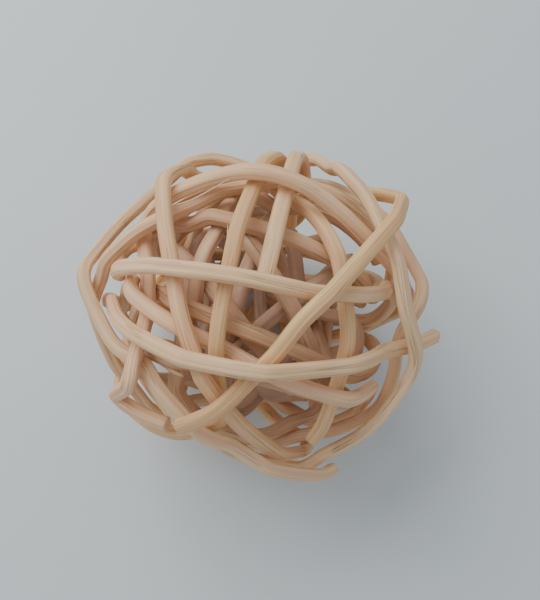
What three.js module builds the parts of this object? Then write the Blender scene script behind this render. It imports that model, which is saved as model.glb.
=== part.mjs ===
// A decorative ball wound from fourteen lengths of peeled rattan reed: open, hollow, held by the winding alone.
// Millimetres, +Z up. The origin is on the surface the ball rests on, under the middle of its bounding box.
import * as THREE from 'three';

// ---- Driving dimensions -------------------------------------------------------------------------------
const REED_WIDTH = 3.6;        // across the reed, along the ball's surface
const REED_THICKNESS = 3.1;    // through the reed, towards the ball's centre
const FLAT_SHARE = 0.5;        // share of the width that is flat on the reed's outer and inner face
const MEAN_SURFACE = new THREE.Vector3(39.3, 37.4, 37.0);  // half axes of the surface the reeds run on
const FOOT_DEPTH = 38.0;       // from the ball's centre down to the small flat spot it rests on
const FOOT_PRESS = 0.3;        // how far the reeds' undersides are pressed flat at that spot
const CLEARANCE = 0.75;        // air between two reeds that cross
const ROUTE_STEP = 1.5;        // spacing of the points while the crossings are settled
const RING_SAG = 0.2;          // how far a reed's line may leave the straight line between two rings
const CONTROL_STEP = 16;       // degrees between a pass's control points
const TAIL_POINTS = 3;         // control points of a straight free end
const LENGTH_SAMPLES = 24;     // samples per control point when a reed's length is measured
const OWN_REACH = 14;          // how far apart along one reed two places may be to count as a crossing
const PUSH_SHARE = 0.3;        // share of a lack of room that each reed at a crossing makes good per round
const SETTLING_ROUNDS = 300;   // rounds of easing the reeds over and under each other
const FIRM_ROUNDS = 200;       // last rounds, with no more easing
const STIFF_REACH = 4;         // how many points to each side move along with a point that is pushed
const MOST_EASING = 4;         // the most a reed gives way at a crossing
const EASING = 0.98;           // how much of a bump is left after each round of easing
const FOOT_REACH = 0.5;        // part of the lower half, from its lowest point up, that the flat spot limits

// ---- The winding --------------------------------------------------------------------------------------
// Each pass of a reed is a plane cut through the ball. heading and tilt point the plane's pole, in degrees
// from +X and from +Z, and offset is the plane's distance from the centre as a share of the radius. from and
// to are degrees along the cut, 0 at its highest point and 180 at its lowest. lifts are spread evenly from
// the pass's start to its end and say how far the reed stands out from the mean surface: where two reeds
// cross, the one with more lift is over.
const pass = (heading, tilt, offset, from, to, ...lifts) => ({ heading, tilt, offset, from, to, lifts });

const REEDS = [
  { name: 'rim_reed', color: 0xd6bd99, passes: [
    pass(217, 131, 0.24, -88, 0, 2.0, 2.6, 2.0, -1.4, 0.0, -1.0, -2.0),
    pass(240, 168, -0.33, 33, 150, -1.4, 0.0, 0.2, 0.0, -1.6, 1.4, -0.8),
    pass(-24, 170, -0.17, -92, -15, -1.4, -0.6, 0.0),
    pass(-10, 174, 0.28, 60, 215, -4.0, -4.0, -4.0),
    pass(-15, 133, 0.00, -118, -72, -1.5, 0.0, 1.0),
    pass(17, 135, 0.07, -30, 20, 3.0, 3.2, 2.4),
    pass(21, 147, 0.09, 46, 138, 2.0, 1.0, -1.0)] },
  { name: 'kinked_reed', color: 0xd9bfa0, passes: [
    pass(273, 157, -0.04, 32, 52, -0.4, 0.4, 1.2),
    pass(188, 90, 0.70, -38, 22, 1.4, -4.4, -5.4, -5.4),
    pass(77, 119, 0.05, -52, 62, -4.0, 0.4, 0.8, -1.0, -3.0),
    pass(96, 95, 0.00, 118, 242, -3.4, -2.6, -5.2),
    pass(60, 60, 0.00, -46, 74, -5.2, -2.4, -1.4, -2.2, -3.4),
    pass(48, 110, 0.00, 118, 232, -2.5, -3.0, -2.5)] },
  { name: 'stub_reed', color: 0xd4b896, tail: 18, passes: [
    pass(72, 41, 0.00, 130, 236, -1.6, -0.6, -3.4),
    pass(80, 82, 0.06, -62, 0, -3.4, 0.6, 0.6),
    pass(75, 57, 0.48, 8, 78, 0.4, -1.6, -4.0),
    pass(86, 78, 0.00, 118, 242, -4.2, -2.0, 1.2, 1.0, -3.0),
    pass(80, 55, 0.08, -62, 58, -2.8, 0.4, 1.6, -0.4, -2.8)] },
  { name: 'upright_reed', color: 0xd2b592, passes: [
    pass(-161, 49, 0.16, -76, 52, -1.0, -3.2, -3.4, -3.6, -3.8),
    pass(-150, 75, 0.00, 118, 242, -0.6, 0.8, -0.6),
    pass(-167, 117, -0.03, -66, 56, -1.4, -0.8, 0.8),
    pass(-156, 104, 0.00, 118, 236, -3.5, -1.4, 1.8, 0.2, -3.0)] },
  { name: 'diagonal_reed', color: 0xccae86, passes: [
    pass(146, 55, 0.21, -58, -18, 0.2, 0.0, -0.4),
    pass(137, 72, -0.07, -2, 69, 0.6, 2.4, 6.0),
    pass(137, 41, 0.00, 112, 236, 0.8, 0.4, 0.0),
    pass(169, 100, -0.05, -60, 60, -2.0, -1.0, 0.8),
    pass(160, 84, 0.00, 118, 232, -1.2, 0.6, -2.6, -2.6, -1.0)] },
  { name: 'tucked_reed', color: 0xd8bc9c, passes: [
    pass(169, 90, -0.08, -4, 66, -1.6, -0.8, 0.4),
    pass(150, 70, 0.00, 118, 236, 0.4, 0.6, -1.2),
    pass(105, 130, 0.00, -60, 60, -3.0, -2.4, -3.0),
    pass(92, 62, 0.00, 118, 228, -0.8, 0.8, 0.0)] },
  { name: 'inner_reed_1', color: 0xcfae88, passes: [
    pass(80, 62, 0.10, 122, 238, -7.0, -6.5, -7.0),
    pass(72, 100, 0.20, -60, 60, -7.0, -7.0, -7.0),
    pass(88, 84, 0.42, 122, 236, -7.0, -7.0, -7.0),
    pass(80, 124, 0.22, -58, 58, -6.5, -6.0, -6.5)] },
  { name: 'inner_reed_2', color: 0xc9a67e, passes: [
    pass(66, 82, -0.22, -60, 60, -7.0, -7.5, -7.0),
    pass(104, 96, -0.30, 120, 240, -7.0, -7.0, -7.0),
    pass(75, 84, -0.55, -56, 56, -7.0, -7.0, -7.0),
    pass(92, 86, -0.64, 122, 238, -6.5, -6.5, -6.5)] },
  { name: 'inner_reed_3', color: 0xcba983, passes: [
    pass(30, 92, 0.12, -60, 60, -11.5, -11.5, -11.5),
    pass(22, 80, 0.38, 120, 240, -11.5, -10.5, -11.5),
    pass(38, 88, -0.25, -60, 60, -11.5, -11.5, -12.5),
    pass(64, 84, 0.36, 120, 222, -11.5, -12.0, -11.5)] },
  { name: 'inner_reed_4', color: 0xc6a27a, passes: [
    pass(8, 96, -0.35, 120, 240, -11.5, -11.0, -11.5),
    pass(-15, 85, 0.00, -60, 60, -12.5, -12.5, -12.5),
    pass(-30, 84, 0.30, 120, 238, -11.5, -11.5, -11.5),
    pass(-48, 92, 0.30, -60, 60, -12.0, -12.5, -12.0)] },
  { name: 'inner_reed_5', color: 0xcdab86, passes: [
    pass(172, 88, -0.60, 120, 240, -6.5, -6.5, -6.5),
    pass(165, 95, 0.30, -60, 60, -7.0, -7.5, -7.0),
    pass(176, 92, 0.62, 120, 238, -6.5, -6.5, -6.5)] },
  { name: 'inner_reed_6', color: 0xd0ad84, passes: [
    pass(5, 90, 0.45, -54, 56, -16.0, -16.0, -16.0),
    pass(2, 90, 0.06, 124, 236, -16.0, -16.5, -16.0)] },
  { name: 'inner_reed_7', color: 0xc8a47c, passes: [
    pass(-20, 92, -0.50, 124, 236, -16.0, -16.0, -16.0),
    pass(-8, 90, -0.66, -56, 50, -16.0, -16.0, -16.0)] },
  { name: 'inner_reed_8', color: 0xccaa80, passes: [
    pass(95, 80, 0.62, 122, 232, -7.0, -7.0, -7.0)] },
];

// ---- Routes -------------------------------------------------------------------------------------------
const RADIANS = Math.PI / 180;
const UP = new THREE.Vector3(0, 0, 1);

// The unit direction on one plane cut, at a phase in degrees.
function directionOnCut(cut, phase) {
  const pole = new THREE.Vector3().setFromSphericalCoords(1, cut.tilt * RADIANS, 0);
  pole.set(pole.z, pole.x, pole.y).applyAxisAngle(UP, cut.heading * RADIANS);
  const crest = UP.clone().addScaledVector(pole, -pole.z).normalize();
  const onward = new THREE.Vector3().crossVectors(pole, crest);
  const ring = Math.sqrt(1 - cut.offset ** 2);
  return pole.multiplyScalar(cut.offset)
    .addScaledVector(crest, ring * Math.cos(phase * RADIANS))
    .addScaledVector(onward, ring * Math.sin(phase * RADIANS));
}

// The value at a share of the way along a list of evenly spread values.
function valueAlong(values, share) {
  const place = share * (values.length - 1);
  const before = Math.min(Math.floor(place), values.length - 2);
  return THREE.MathUtils.lerp(values[before], values[before + 1], place - before);
}

const onSurface = (direction) => direction.clone().multiply(MEAN_SURFACE);

// Evenly spaced points of one reed: a foot on the mean surface, the way out there, and the planned lift.
function routeOf(reed) {
  const directions = [];
  const lifts = [];
  for (const cut of reed.passes) {
    const steps = Math.max(1, Math.round((cut.to - cut.from) / CONTROL_STEP));
    for (let k = 0; k <= steps; k++) {
      directions.push(directionOnCut(cut, THREE.MathUtils.lerp(cut.from, cut.to, k / steps)));
      lifts.push(valueAlong(cut.lifts, k / steps));
    }
  }
  if (reed.tail) addStraightTail(directions, lifts, reed.tail);

  const curve = new THREE.CatmullRomCurve3(directions, false, 'centripetal');
  curve.arcLengthDivisions = directions.length * LENGTH_SAMPLES;
  const count = Math.round(curve.getLength() * MEAN_SURFACE.y / ROUTE_STEP);
  const points = [];
  for (let k = 0; k <= count; k++) {
    const t = curve.getUtoTmapping(k / count);
    const foot = onSurface(curve.getPoint(t).normalize());
    points.push({
      foot,
      outward: foot.clone().normalize(),
      planned: valueAlong(lifts, t),
      eased: 0,
    });
  }
  return points;
}

// A free end that leaves the ball in a straight line.
function addStraightTail(directions, lifts, length) {
  const last = directions.length - 1;
  const lifted = (k) => {
    const foot = onSurface(directions[k]);
    return foot.addScaledVector(foot.clone().normalize(), lifts[last]);
  };
  const start = lifted(last);
  const onward = start.clone().sub(lifted(last - 1)).normalize();
  for (let k = 1; k <= TAIL_POINTS; k++) {
    const point = start.clone().addScaledVector(onward, length * k / TAIL_POINTS);
    const direction = point.clone().divide(MEAN_SURFACE).normalize();
    directions.push(direction);
    lifts.push(point.length() - onSurface(direction).length());
  }
}

// ---- Crossings ----------------------------------------------------------------------------------------
// Where two reeds run closer than their own width, they meet. Each such pair of points leads downhill to the
// pair where the reeds cross, and whichever has more planned lift there is over for the whole crossing.
function findMeetings(routes) {
  const meetings = [];
  const reach = REED_WIDTH + CLEARANCE;
  const ownReach = Math.ceil(OWN_REACH / ROUTE_STEP);
  routes.forEach((route, r) => route.forEach((point, i) => {
    for (let s = r; s < routes.length; s++) {
      for (let j = s === r ? i + ownReach : 0; j < routes[s].length; j++) {
        const apart = point.foot.distanceTo(routes[s][j].foot);
        if (apart >= reach) continue;
        const [a, b] = crossingNear(route, i, routes[s], j);
        const firstIsOver = route[a].planned >= routes[s][b].planned;
        meetings.push({
          over: firstIsOver ? route : routes[s],
          overAt: firstIsOver ? i : j,
          under: firstIsOver ? routes[s] : route,
          underAt: firstIsOver ? j : i,
          needed: (REED_THICKNESS + CLEARANCE) * Math.sqrt(1 - (apart / reach) ** 2),
        });
      }
    }
  }));
  return meetings;
}

// The pair of points, one on each reed, that is closest together, downhill from the pair i and j.
function crossingNear(route, i, other, j) {
  let best = [i, j];
  let apart = Infinity;
  for (;;) {
    const [a, b] = best;
    for (const [c, d] of [a - 1, a, a + 1].flatMap((c) => [b - 1, b, b + 1].map((d) => [c, d]))) {
      if (!route[c] || !other[d]) continue;
      const distance = route[c].foot.distanceTo(other[d].foot);
      if (distance >= apart) continue;
      apart = distance;
      best = [c, d];
    }
    if (best[0] === a && best[1] === b) return best;
  }
}

const heightOf = (point) => point.planned + point.eased;

// No reed reaches below the flat spot.
function highestOf(point) {
  if (point.outward.z > FOOT_REACH - 1) return Infinity;
  return (point.foot.z + FOOT_DEPTH - REED_THICKNESS / 2) / -point.outward.z;
}

// Lifts one place of a reed by an amount, and its neighbours by less, because the reed is stiff.
function liftAt(route, at, amount) {
  for (let k = Math.max(0, at - STIFF_REACH); k <= Math.min(route.length - 1, at + STIFF_REACH); k++) {
    route[k].eased += amount * (1 - ((k - at) / (STIFF_REACH + 1)) ** 2) ** 2;
  }
}

function settle(routes) {
  const meetings = findMeetings(routes);
  for (let round = 0; round < SETTLING_ROUNDS + FIRM_ROUNDS; round++) {
    if (round < SETTLING_ROUNDS) routes.forEach(easeAlong);
    for (const { over, overAt, under, underAt, needed } of meetings) {
      const lack = needed - (heightOf(over[overAt]) - heightOf(under[underAt]));
      if (lack <= 0) continue;
      liftAt(over, overAt, lack * PUSH_SHARE);
      liftAt(under, underAt, -lack * PUSH_SHARE);
    }
    for (const point of routes.flat()) {
      const highest = Math.min(MOST_EASING, highestOf(point) - point.planned);
      point.eased = THREE.MathUtils.clamp(point.eased, -MOST_EASING, highest);
    }
  }
}

// Between crossings a reed goes back towards its planned lift.
function easeAlong(route) {
  const before = route.map((point) => point.eased);
  route.forEach((point, k) => {
    const back = before[Math.max(k - 1, 0)];
    const ahead = before[Math.min(k + 1, route.length - 1)];
    point.eased = EASING * (back + 2 * before[k] + ahead) / 4;
  });
}

// ---- Solids -------------------------------------------------------------------------------------------
// The reed's section: a hexagon with flat outer and inner faces.
const SECTION = [[1, 0], [FLAT_SHARE, 1], [-FLAT_SHARE, 1], [-1, 0], [-FLAT_SHARE, -1], [FLAT_SHARE, -1]]
  .map(([across, out]) => [across * REED_WIDTH / 2, out * REED_THICKNESS / 2]);

// A reed gets a ring where its line would otherwise leave the straight line from the last ring.
function ringPlaces(centres) {
  const places = [0];
  for (let k = 2; k < centres.length; k++) {
    const chord = new THREE.Line3(centres[places.at(-1)], centres[k]);
    const between = centres.slice(places.at(-1) + 1, k);
    const sagAt = (centre) => chord.closestPointToPoint(centre, true, new THREE.Vector3()).distanceTo(centre);
    if (between.some((centre) => sagAt(centre) > RING_SAG)) places.push(k - 1);
  }
  return [...places, centres.length - 1];
}

function reedSolid(route) {
  const line = route.map((point) => point.foot.clone().addScaledVector(point.outward, heightOf(point)));
  const places = ringPlaces(line);
  const stations = places.map((k) => route[k]);
  const centres = places.map((k) => line[k]);
  const vertices = [];
  centres.forEach((centre, k) => {
    const back = centres[Math.max(k - 1, 0)];
    const ahead = centres[Math.min(k + 1, centres.length - 1)];
    const along = ahead.clone().sub(back).normalize();
    const outward = stations[k].outward;
    const out = outward.clone().addScaledVector(along, -along.dot(outward)).normalize();
    const across = new THREE.Vector3().crossVectors(out, along);
    for (const [sideways, outwards] of SECTION) {
      const corner = centre.clone().addScaledVector(across, sideways).addScaledVector(out, outwards);
      corner.z = Math.max(corner.z, FOOT_PRESS - FOOT_DEPTH);
      vertices.push(corner);
    }
  });
  vertices.push(centres[0], centres[centres.length - 1]);

  const faces = [];
  const sides = SECTION.length;
  const lastRing = (centres.length - 1) * sides;
  for (let side = 0; side < sides; side++) {
    const next = (side + 1) % sides;
    for (let ring = 0; ring < lastRing; ring += sides) {
      faces.push(ring + side, ring + next, ring + sides + next);
      faces.push(ring + side, ring + sides + next, ring + sides + side);
    }
    faces.push(vertices.length - 2, next, side);
    faces.push(vertices.length - 1, lastRing + side, lastRing + next);
  }
  const geometry = new THREE.BufferGeometry().setFromPoints(vertices);
  geometry.setIndex(faces);
  return geometry;
}

// ---- The ball -----------------------------------------------------------------------------------------
const routes = REEDS.map(routeOf);
settle(routes);

const ball = new THREE.Group();
REEDS.forEach(({ name, color }, r) => {
  const peeledRattan = new THREE.MeshStandardMaterial({ color, roughness: 0.7, metalness: 0 });
  const reed = new THREE.Mesh(reedSolid(routes[r]), peeledRattan);
  reed.name = name;
  ball.add(reed);
});

// The group is moved so that the flat spot lies at z = 0 under the middle of the bounding box.
const box = new THREE.Box3().setFromObject(ball);
const middle = box.getCenter(new THREE.Vector3());
ball.position.set(-middle.x, -middle.y, -box.min.z);

export default ball;
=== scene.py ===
import math

import bmesh
import bpy
from mathutils import Euler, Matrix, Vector, noise


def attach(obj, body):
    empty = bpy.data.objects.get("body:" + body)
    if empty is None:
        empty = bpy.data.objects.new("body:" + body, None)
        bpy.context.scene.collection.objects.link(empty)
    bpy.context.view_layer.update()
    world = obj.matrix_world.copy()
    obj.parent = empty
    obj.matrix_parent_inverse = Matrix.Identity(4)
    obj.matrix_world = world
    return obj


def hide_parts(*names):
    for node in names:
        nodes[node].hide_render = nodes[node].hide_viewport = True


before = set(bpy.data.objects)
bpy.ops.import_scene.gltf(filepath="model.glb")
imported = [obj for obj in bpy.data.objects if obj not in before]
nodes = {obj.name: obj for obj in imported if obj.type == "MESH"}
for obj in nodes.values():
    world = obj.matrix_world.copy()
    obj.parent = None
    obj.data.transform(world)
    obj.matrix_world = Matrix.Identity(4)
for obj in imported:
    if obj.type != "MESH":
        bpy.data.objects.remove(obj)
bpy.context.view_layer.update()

scene = bpy.context.scene

# ---- Camera -------------------------------------------------------------------------------------------
# The ball is looked down on from the front, 15 degrees off straight down, from close by. It stands a
# little left of and below the middle of the view.
BALL_CENTRE = Vector((-0.0019, -0.0002, 0.0377))
CAMERA_DISTANCE = 0.184
LENS = 44.46
SENSOR = 36.0
LEAN = math.radians(15)
AIM_OFF = (-0.0202, -0.0148)      # where the ball's centre falls, over the focal length

view_line = Vector((AIM_OFF[0], AIM_OFF[1], -1)).normalized()
view_line.rotate(Euler((LEAN, 0, 0)))
camera_data = bpy.data.cameras.new("camera")
camera_data.lens = LENS
camera_data.sensor_width = SENSOR
camera_data.clip_start = 0.01
camera = bpy.data.objects.new("camera", camera_data)
camera.location = BALL_CENTRE - view_line * CAMERA_DISTANCE
camera.rotation_euler = (LEAN, 0, 0)
scene.collection.objects.link(camera)
scene.camera = camera


# ---- Table top ----------------------------------------------------------------------------------------
# A smooth white laminate top in cool daylight, which the ball lies on. It isn't part of the object.
def linear(hex_colour):
    """An sRGB hex colour as a linear colour for a shader."""
    channels = [int(hex_colour[k : k + 2], 16) / 255 for k in (1, 3, 5)]
    return [c / 12.92 if c <= 0.04045 else ((c + 0.055) / 1.055) ** 2.4 for c in channels] + [1]


def add_node(tree, kind, settings=None, links=None):
    """One shader node: settings sets its sockets or properties, links joins its inputs to outputs."""
    node = tree.nodes.new(kind)
    for key, value in (settings or {}).items():
        if key in node.inputs:
            node.inputs[key].default_value = value
        else:
            setattr(node, key, value)
    for key, output in (links or {}).items():
        tree.links.new(output, node.inputs[key])
    return node


def new_material(name):
    """An empty node material and its tree."""
    material = bpy.data.materials.new(name)
    material.use_nodes = True
    material.node_tree.nodes.clear()
    return material, material.node_tree


white_laminate, tree = new_material("white_laminate")
place = add_node(tree, "ShaderNodeTexCoord")
cloudy = add_node(
    tree, "ShaderNodeTexNoise", {"Scale": 9.0, "Detail": 3.0}, {"Vector": place.outputs["Object"]}
)
tone = add_node(tree, "ShaderNodeMix", {"data_type": "RGBA"}, {"Factor": cloudy.outputs["Fac"]})
tone.inputs["A"].default_value = linear("#d0d9dd")
tone.inputs["B"].default_value = linear("#d8dfe2")
finish = add_node(
    tree, "ShaderNodeBsdfPrincipled", {"Roughness": 0.45}, {"Base Color": tone.outputs["Result"]}
)
add_node(tree, "ShaderNodeOutputMaterial", links={"Surface": finish.outputs["BSDF"]})

bpy.ops.object.select_all(action="DESELECT")
bpy.ops.mesh.primitive_plane_add(size=3, location=(0, 0, 0))
table_top = bpy.context.object
table_top.name = "table_top"
table_top.data.materials.append(white_laminate)

# ---- Daylight -----------------------------------------------------------------------------------------
# A large soft window high on the far left, with the pale room all round.
world = bpy.data.worlds.new("pale_room")
world.use_nodes = True
world.node_tree.nodes["Background"].inputs["Color"].default_value = linear("#e4eaef")
world.node_tree.nodes["Background"].inputs["Strength"].default_value = 0.64
scene.world = world

window_data = bpy.data.lights.new("window", "AREA")
window_data.shape = "RECTANGLE"
window_data.size = 0.9
window_data.size_y = 0.7
window_data.energy = 7.3
window_data.color = (1.0, 0.985, 0.96)
window = bpy.data.objects.new("window", window_data)
window.location = (-0.42, 0.46, 0.70)
window.rotation_euler = (Vector((0, 0, 0.03)) - window.location).to_track_quat("-Z", "Y").to_euler()
scene.collection.objects.link(window)


# ---- Peeled rattan ------------------------------------------------------------------------------------
# Rattan core reed: the vine's inner pith drawn through a die, with no bark left. Bare and unvarnished, it is
# dull, cream to olive tan with rosier stretches. Its straight vessels show as fine streaks, with a few long
# hairline cracks. Towards the ball's middle it is mixed into a darker, greyer tone: painted shade for the
# inside of the winding. The streaks follow its UV map, in metres.
VESSEL = 0.00032                  # width of a streak, several vessels together, so that it shows
STREAK_LENGTH = 0.022
BAND = 0.0016                     # width of the rosier bands
BAND_LENGTH = 0.045
CRACK_SPACING = 0.0016
CRACK_LENGTH = 0.045
PATCH_LENGTH = 0.030              # length of the tan patches
SHADE_FREE_RADIUS = 0.0345          # from the ball's centre, where the painted shade ends
FULL_SHADE_RADIUS = 0.0215         # and where the painted shade is at its fullest


def peeled_rattan(name, pale, tan, rosy, furrow, deep_shade_tone):
    """Peeled rattan in one reed's own tones."""
    material, tree = new_material(name)
    along = add_node(tree, "ShaderNodeUVMap", {"uv_map": "reed_length"})

    def streaks(length, width, detail, shift):
        """A noise drawn out along the reed, in cells of a length and width in metres."""
        drawn = add_node(tree, "ShaderNodeMapping", links={"Vector": along.outputs["UV"]})
        drawn.inputs["Scale"].default_value = (1 / length, 1 / width, 1)
        drawn.inputs["Location"].default_value = (shift, shift, shift)
        return add_node(
            tree, "ShaderNodeTexNoise", {"Scale": 1.0, "Detail": detail, "Roughness": 0.6},
            {"Vector": drawn.outputs["Vector"]},
        ).outputs["Fac"]

    def spread(value, low, high, top=1.0):
        """A value stretched from low and high to 0 and top."""
        return add_node(
            tree, "ShaderNodeMapRange",
            {"From Min": low, "From Max": high, "To Max": top, "interpolation_type": "SMOOTHSTEP"},
            {"Value": value},
        ).outputs["Result"]

    def blend(share, below, above, mode="MIX"):
        """Two colours mixed by a share."""
        mix = add_node(tree, "ShaderNodeMix", {"data_type": "RGBA", "blend_type": mode})
        for socket, colour in ((mix.inputs["A"], below), (mix.inputs["B"], above)):
            if isinstance(colour, str):
                socket.default_value = linear(colour)
            else:
                tree.links.new(colour, socket)
        tree.links.new(share, mix.inputs["Factor"])
        return mix.outputs["Result"]

    def arithmetic(operation, first, second):
        """A sum, product or other arithmetic of an output and a number or a second output."""
        node = add_node(tree, "ShaderNodeMath", {"operation": operation}, {0: first})
        if isinstance(second, float):
            node.inputs[1].default_value = second
        else:
            tree.links.new(second, node.inputs[1])
        return node.outputs["Value"]

    vessels = streaks(STREAK_LENGTH, VESSEL, 3.0, 0.0)
    broad = streaks(BAND_LENGTH, BAND, 2.0, 7.3)
    patches = streaks(PATCH_LENGTH, 0.02, 2.0, 3.1)
    stretches = streaks(0.014, 0.004, 1.0, 11.7)

    # A crack runs where one drawn-out noise passes its middle value, in some stretches of the reed only.
    course = streaks(CRACK_LENGTH, CRACK_SPACING, 1.0, 5.9)
    off_crack = add_node(
        tree, "ShaderNodeMath", {"operation": "ABSOLUTE"}, {0: arithmetic("SUBTRACT", course, 0.5)},
    )
    line = add_node(
        tree, "ShaderNodeMapRange", {"From Min": 0.0, "From Max": 0.022, "To Min": 1.0, "To Max": 0.0},
        {"Value": off_crack.outputs["Value"]},
    ).outputs["Result"]
    cracks = arithmetic("MULTIPLY", line, spread(stretches, 0.50, 0.62))

    # Painted shade: nearer the ball's middle the colour is mixed towards the deep shade tone, standing in for
    # the shade inside the winding.
    place = add_node(tree, "ShaderNodeTexCoord")
    from_middle = add_node(
        tree, "ShaderNodeVectorMath", {"operation": "DISTANCE"}, {0: place.outputs["Object"]},
    )
    from_middle.inputs[1].default_value = BALL_CENTRE
    painted_inner_shade = add_node(
        tree, "ShaderNodeMapRange",
        {"From Min": FULL_SHADE_RADIUS, "From Max": SHADE_FREE_RADIUS, "To Min": 1.0, "To Max": 0.0},
        {"Value": from_middle.outputs["Value"]},
    ).outputs["Result"]

    colour = blend(spread(patches, 0.36, 0.64), pale, tan)
    colour = blend(spread(broad, 0.44, 0.62), colour, rosy)
    # Painted shade deep in the ball.
    colour = blend(arithmetic("MULTIPLY", painted_inner_shade, 0.85), colour, deep_shade_tone)
    colour = blend(spread(vessels, 0.48, 0.80, 0.65), colour, furrow)
    colour = blend(arithmetic("MULTIPLY", cracks, 0.6), colour, furrow)

    dull = add_node(tree, "ShaderNodeMapRange", {"To Min": 0.60, "To Max": 0.85}, {"Value": vessels})
    height = arithmetic("SUBTRACT", vessels, cracks)
    relief = add_node(tree, "ShaderNodeBump", {"Strength": 0.85, "Distance": 0.00020}, {"Height": height})
    rattan = add_node(
        tree, "ShaderNodeBsdfPrincipled",
        {
            "IOR": 1.5, "Subsurface Weight": 0.06, "Subsurface Scale": 0.0012,
            "Subsurface Radius": (1.0, 0.6, 0.35),
        },
        {"Base Color": colour, "Roughness": dull.outputs["Result"], "Normal": relief.outputs["Normal"]},
    )
    add_node(tree, "ShaderNodeOutputMaterial", links={"Surface": rattan.outputs["BSDF"]})
    return material


# ---- The reeds ----------------------------------------------------------------------------------------
# Each reed is one length of rattan core, 3.6 by 3.1 mm, wound on damp and set as it dried. The die has left
# uneven flats with soft edges between them, which turn a little along the reed, and drying has left long
# furrows. Its ends are cut straight across. It follows its CAD node ring by ring, in finer steps.
REED_HALF_WIDTH = 0.00180
REED_HALF_THICKNESS = 0.00155
RING_STEP = 0.0008
LINE_STEP = 0.0004                # spacing of the first, uneven points of a smooth line
ROUND_STEPS = 44
RING_CORNERS = 6                  # corners of the CAD reed's section
CAP_REACH = 0.0024                # from the middle of a CAD reed's cut end to its corners, at most
# Each flat's direction round the reed, 90 degrees facing out, and its distance as a share of the half size.
FLATS = ((90, 0.93), (272, 0.94), (3, 0.96), (181, 0.97), (43, 1.06), (137, 1.02), (222, 1.08), (317, 1.04))
EDGE_HARDNESS = 24
FURROW_DEPTH = 0.085
GIRTH_WAVER = 0.03                # how much the reed thickens and thins, as a share
FLAT_WAVER = 0.07                 # how far a flat moves in and out, as a share
TWIST = 0.35                      # how far the flats turn about the reed, in radians
CUT_EDGE = 0.00022                # length of the worn edge at a cut end
CUT_FACE = 0.84                   # the flat cut's size, as a share of the section


def rings_of(node):
    """The centres of a CAD reed's rings of six corners, walked from one end to the other."""
    mesh = bmesh.new()
    mesh.from_mesh(node.data)
    bmesh.ops.remove_doubles(mesh, verts=mesh.verts, dist=1e-6)
    caps = [
        v for v in mesh.verts
        if all(f.normal.dot(v.link_faces[0].normal) > 0.9999 for f in v.link_faces)
        and len(v.link_faces) == RING_CORNERS
        and all((e.other_vert(v).co - v.co).length < CAP_REACH for e in v.link_edges)
    ]
    start = min(caps, key=lambda v: v.index)
    passed = {start}
    ring = {e.other_vert(start) for e in start.link_edges}
    centres = []
    while len(ring) == RING_CORNERS:
        centres.append(sum((v.co for v in sorted(ring, key=lambda v: v.co[:])), Vector()) / RING_CORNERS)
        passed |= ring
        ring = {e.other_vert(v) for v in ring for e in v.link_edges} - passed
    mesh.free()
    return centres


def smooth_line(points, step):
    """A smooth line through points, cut into even steps."""
    fine = []
    ends = [2 * points[0] - points[1], *points, 2 * points[-1] - points[-2]]
    for a, b, c, d in zip(ends, ends[1:], ends[2:], ends[3:]):
        pieces = max(2, round((c - b).length / LINE_STEP))
        for k in range(pieces):
            t = k / pieces
            square, cube = 2 * a - 5 * b + 4 * c - d, 3 * b - a - 3 * c + d
            fine.append(0.5 * (2 * b + (c - a) * t + square * t * t + cube * t**3))
    fine.append(points[-1].copy())
    lengths = [0.0]
    for before, after in zip(fine, fine[1:]):
        lengths.append(lengths[-1] + (after - before).length)
    count = round(lengths[-1] / step)
    line = []
    k = 0
    for n in range(count + 1):
        place = lengths[-1] * n / count
        while k < len(fine) - 2 and lengths[k + 1] < place:
            k += 1
        share = (place - lengths[k]) / max(lengths[k + 1] - lengths[k], 1e-9)
        line.append(fine[k].lerp(fine[k + 1], min(share, 1)))
    return line


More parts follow.
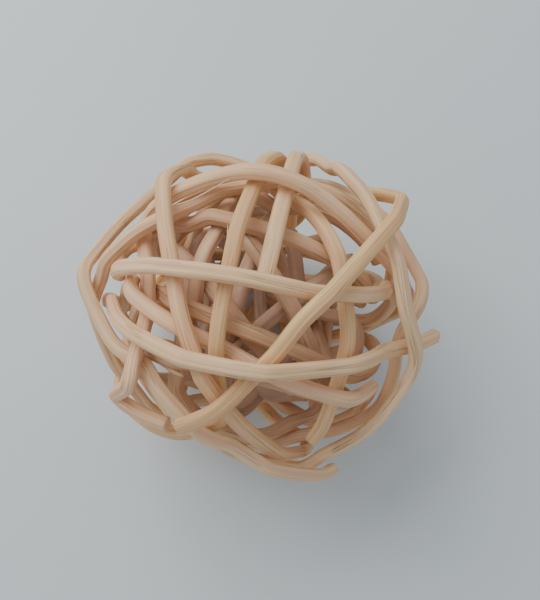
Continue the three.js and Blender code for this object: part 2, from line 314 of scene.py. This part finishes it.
def reed_surface(name, line, middle, wander):
    """The reed's skin along a line, its flat faces turned to and from the ball's middle."""
    mesh = bmesh.new()
    rings = []
    lengths = [0.0]
    for before, after in zip(line, line[1:]):
        lengths.append(lengths[-1] + (after - before).length)
    for k, centre in enumerate(line):
        along = (line[min(k + 1, len(line) - 1)] - line[max(k - 1, 0)]).normalized()
        out = centre - middle
        out = (out - along * out.dot(along)).normalized()
        across = out.cross(along)
        place = lengths[k]
        girth = 1 + GIRTH_WAVER * noise.noise(Vector((place * 45, wander, 0)))
        lean = TWIST * noise.noise(Vector((place * 14, 0, wander)))
        flats = [
            (math.radians(angle) + lean, away + FLAT_WAVER * noise.noise(Vector((place * 30, angle, wander))))
            for angle, away in FLATS
        ]
        ring = []
        for side in range(ROUND_STEPS):
            turn = 2 * math.pi * side / ROUND_STEPS
            c, s = math.cos(turn), math.sin(turn)
            nearness = [max(math.cos(turn - angle), 0.0) / away for angle, away in flats]
            reach = girth * sum(n**EDGE_HARDNESS for n in nearness) ** (-1 / EDGE_HARDNESS)
            round_to = turn + lean
            furrow = noise.noise(
                Vector((5.2 * math.cos(round_to), 5.2 * math.sin(round_to), wander + place * 16))
            )
            reach *= 1 - FURROW_DEPTH * max(0.0, furrow + 0.15)
            corner = centre + across * (reach * c * REED_HALF_WIDTH) + out * (reach * s * REED_HALF_THICKNESS)
            corner.z = max(corner.z, 0.0)
            ring.append(mesh.verts.new(corner))
        rings.append(ring)

    length_map = mesh.loops.layers.uv.new("reed_length")
    girth_length = math.pi * (REED_HALF_WIDTH + REED_HALF_THICKNESS)

    def lay_out(face, corners):
        for loop, (u, v) in zip(face.loops, corners):
            loop[length_map].uv = (u + wander, v)

    for k, (ring, onward) in enumerate(zip(rings, rings[1:])):
        for side in range(ROUND_STEPS):
            beside = (side + 1) % ROUND_STEPS
            face = mesh.faces.new((ring[side], ring[beside], onward[beside], onward[side]))
            v0, v1 = girth_length * side / ROUND_STEPS, girth_length * (side + 1) / ROUND_STEPS
            lay_out(face, ((lengths[k], v0), (lengths[k], v1), (lengths[k + 1], v1), (lengths[k + 1], v0)))
            face.smooth = True

    # A cut end: a narrow worn edge, then the flat cut across the vessels.
    first_end, last_end = line[0] - line[1], line[-1] - line[-2]
    for ring, outward, flipped in ((rings[0], first_end, True), (rings[-1], last_end, False)):
        hub = sum((v.co for v in ring), Vector()) / len(ring)
        push = outward.normalized() * CUT_EDGE
        inner = [mesh.verts.new(hub + (v.co - hub) * CUT_FACE + push) for v in ring]
        middle_vert = mesh.verts.new(hub + push * 0.7)
        for side in range(ROUND_STEPS):
            beside = (side + 1) % ROUND_STEPS
            quad = (ring[side], ring[beside], inner[beside], inner[side])
            fan = (inner[side], inner[beside], middle_vert)
            for corners, smooth in ((quad, True), (fan, False)):
                face = mesh.faces.new(tuple(reversed(corners)) if flipped else corners)
                face.smooth = smooth
                for loop in face.loops:
                    offset = loop.vert.co - hub
                    loop[length_map].uv = (wander + offset.length * 4, offset.length * 2)
    bmesh.ops.recalc_face_normals(mesh, faces=mesh.faces)
    data = bpy.data.meshes.new(name)
    mesh.to_mesh(data)
    mesh.free()
    reed = bpy.data.objects.new(name, data)
    scene.collection.objects.link(reed)
    return reed


# Each reed's material, then its pale, tan and rosy tones, its furrows, and its darker tone deep in the ball,
# which is painted shade.
REED_TONES = {
    "rim_reed": ("peeled_rattan_straw", "#f9d5a9", "#ebc89c", "#eec39f", "#bf9978", "#d3b59e"),
    "kinked_reed": ("peeled_rattan_rosy", "#fcd3a7", "#f0c294", "#f0c29e", "#c39677", "#d5b29b"),
    "stub_reed": ("peeled_rattan_cream", "#fed8ab", "#efc998", "#f0c09a", "#c59e79", "#d7b69f"),
    "upright_reed": ("peeled_rattan_tan", "#f8d09c", "#eac08c", "#e9b78d", "#ba936d", "#d1b096"),
    "diagonal_reed": ("peeled_rattan_olive", "#f1ca91", "#e1b880", "#e6b485", "#b48e66", "#cead8e"),
    "tucked_reed": ("peeled_rattan_pale", "#fcd6a6", "#edc493", "#edc099", "#c29874", "#d4b39a"),
    # The inner reeds' tones are all darker than the outer reeds': painted shade for the inside of the ball.
    "inner_reed_1": ("peeled_rattan_sand", "#edcb9d", "#ddb788", "#deaf89", "#b38867", "#cda88f"),
    "inner_reed_2": ("peeled_rattan_dusky", "#eac598", "#d9b083", "#d9a984", "#ab8161", "#c7a189"),
    "inner_reed_3": ("peeled_rattan_fawn", "#ebc89c", "#dbb487", "#dcac88", "#ae8464", "#caa48c"),
    "inner_reed_4": ("peeled_rattan_russet", "#e6c297", "#d4ad84", "#d5a786", "#a37c64", "#c09d8b"),
    "inner_reed_5": ("peeled_rattan_blush", "#eecaa0", "#deb88c", "#e2b18e", "#b48969", "#cea991"),
    "inner_reed_6": ("peeled_rattan_honey", "#e7c499", "#d5af86", "#d5a987", "#a37e64", "#bf9f8c"),
    "inner_reed_7": ("peeled_rattan_umber", "#e3bf96", "#d1a981", "#d2a484", "#a07962", "#bc9988"),
    "inner_reed_8": ("peeled_rattan_biscuit", "#ecc899", "#dcb586", "#ddad86", "#b18664", "#cba68c"),
}
lines = {name: rings_of(nodes[name]) for name in REED_TONES}
every_centre = [c for centres in lines.values() for c in centres]
winding_middle = sum(every_centre, Vector()) / len(every_centre)
lines = {name: smooth_line(centres, RING_STEP) for name, centres in lines.items()}
for order, (name, tones) in enumerate(REED_TONES.items()):
    reed = reed_surface("wound_" + name, lines[name], winding_middle, 2.7 * order)
    reed.data.materials.append(peeled_rattan(*tones))
    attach(reed, "root")
    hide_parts(name)


# ---- Split fibres -------------------------------------------------------------------------------------
# Thin fibres and slivers of the reed's own wood, sprung from its edges where it was bent hard or the die
# caught it. Each is still joined to its reed at one end, or at both. They are a fraction of a millimetre
# thick, paler than the reed, and a little translucent.
split_wood, tree = new_material("split_rattan_fibre")
place = add_node(tree, "ShaderNodeTexCoord")
shreds = add_node(
    tree, "ShaderNodeTexNoise", {"Scale": 1 / 0.0012, "Detail": 2.0}, {"Vector": place.outputs["Object"]}
)
tone = add_node(tree, "ShaderNodeMix", {"data_type": "RGBA"}, {"Factor": shreds.outputs["Fac"]})
tone.inputs["A"].default_value = linear("#d9ab80")
tone.inputs["B"].default_value = linear("#f4d6b0")
relief = add_node(
    tree, "ShaderNodeBump", {"Strength": 0.4, "Distance": 0.0001}, {"Height": shreds.outputs["Fac"]}
)
finish = add_node(
    tree, "ShaderNodeBsdfPrincipled",
    {
        "Roughness": 0.65, "Subsurface Weight": 0.25, "Subsurface Scale": 0.001,
        "Subsurface Radius": (1.0, 0.6, 0.35),
    },
    {"Base Color": tone.outputs["Result"], "Normal": relief.outputs["Normal"]},
)
add_node(tree, "ShaderNodeOutputMaterial", links={"Surface": finish.outputs["BSDF"]})

FIBRE_STEPS = 18
FIBRE_SIDES = 8
MM = 0.001


def split_fibre(mesh, line, start, length, side, bow, rise, width, thickness, joined):
    """A fibre beside a reed's line, sized in millimetres. side is 1 or -1, and a fibre that isn't joined at
    both ends stands furthest off at its free end."""
    rings = []
    for step in range(FIBRE_STEPS + 1):
        share = step / FIBRE_STEPS
        reach = (start + length * share) * MM / RING_STEP
        k = min(int(reach), len(line) - 2)
        centre = line[k].lerp(line[k + 1], min(reach - k, 1.0))
        along = (line[k + 1] - line[k]).normalized()
        out = centre - winding_middle
        out = (out - along * out.dot(along)).normalized()
        across = out.cross(along) * side
        away = math.sin(math.pi * share) if joined else share**1.6
        centre = centre + across * (REED_HALF_WIDTH * 0.92 + bow * MM * away) + out * (rise * MM * away)
        taper = 0.35 + 0.65 * math.sin(math.pi * min(share * 0.85 + 0.15, 1.0)) ** 0.5
        ring = []
        for corner in range(FIBRE_SIDES):
            turn = 2 * math.pi * corner / FIBRE_SIDES + 1.9 * share
            ring.append(mesh.verts.new(
                centre + across * (0.5 * width * MM * taper * math.cos(turn))
                + out * (0.5 * thickness * MM * taper * math.sin(turn))
            ))
        rings.append(ring)
    for ring, onward in zip(rings, rings[1:]):
        for corner in range(FIBRE_SIDES):
            beside = (corner + 1) % FIBRE_SIDES
            mesh.faces.new((ring[corner], ring[beside], onward[beside], onward[corner])).smooth = True
    mesh.faces.new(tuple(reversed(rings[0])))
    mesh.faces.new(rings[-1])


# Reed, place along it, length, side, bow sideways and outwards, width, thickness, joined at both ends.
FIBRES = (
    ("kinked_reed", 74.0, 20.0, -1, 3.6, -0.5, 0.44, 0.30, True),
    ("rim_reed", 443.0, 15.0, -1, 4.6, -3.0, 0.30, 0.24, False),
    ("diagonal_reed", 300.0, 4.0, 1, 0.8, -0.4, 0.22, 0.18, False),
    ("stub_reed", 420.0, 3.5, 1, 1.4, 0.5, 0.30, 0.22, False),
    ("inner_reed_2", 188.0, 14.0, 1, 2.4, 1.2, 2.10, 0.40, False),
    ("inner_reed_2", 194.0, 9.0, -1, 1.5, 0.7, 1.40, 0.36, False),
    ("rim_reed", 36.0, 7.0, 1, 1.6, 0.3, 0.30, 0.22, False),
    ("rim_reed", 41.0, 6.0, 1, 2.2, -0.6, 0.26, 0.20, False),
)
mesh = bmesh.new()
for name, *shape in FIBRES:
    split_fibre(mesh, lines[name], *shape)
bmesh.ops.recalc_face_normals(mesh, faces=mesh.faces)
data = bpy.data.meshes.new("split_fibres")
mesh.to_mesh(data)
mesh.free()
split_fibres = bpy.data.objects.new("split_fibres", data)
scene.collection.objects.link(split_fibres)
split_fibres.data.materials.append(split_wood)
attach(split_fibres, "root")
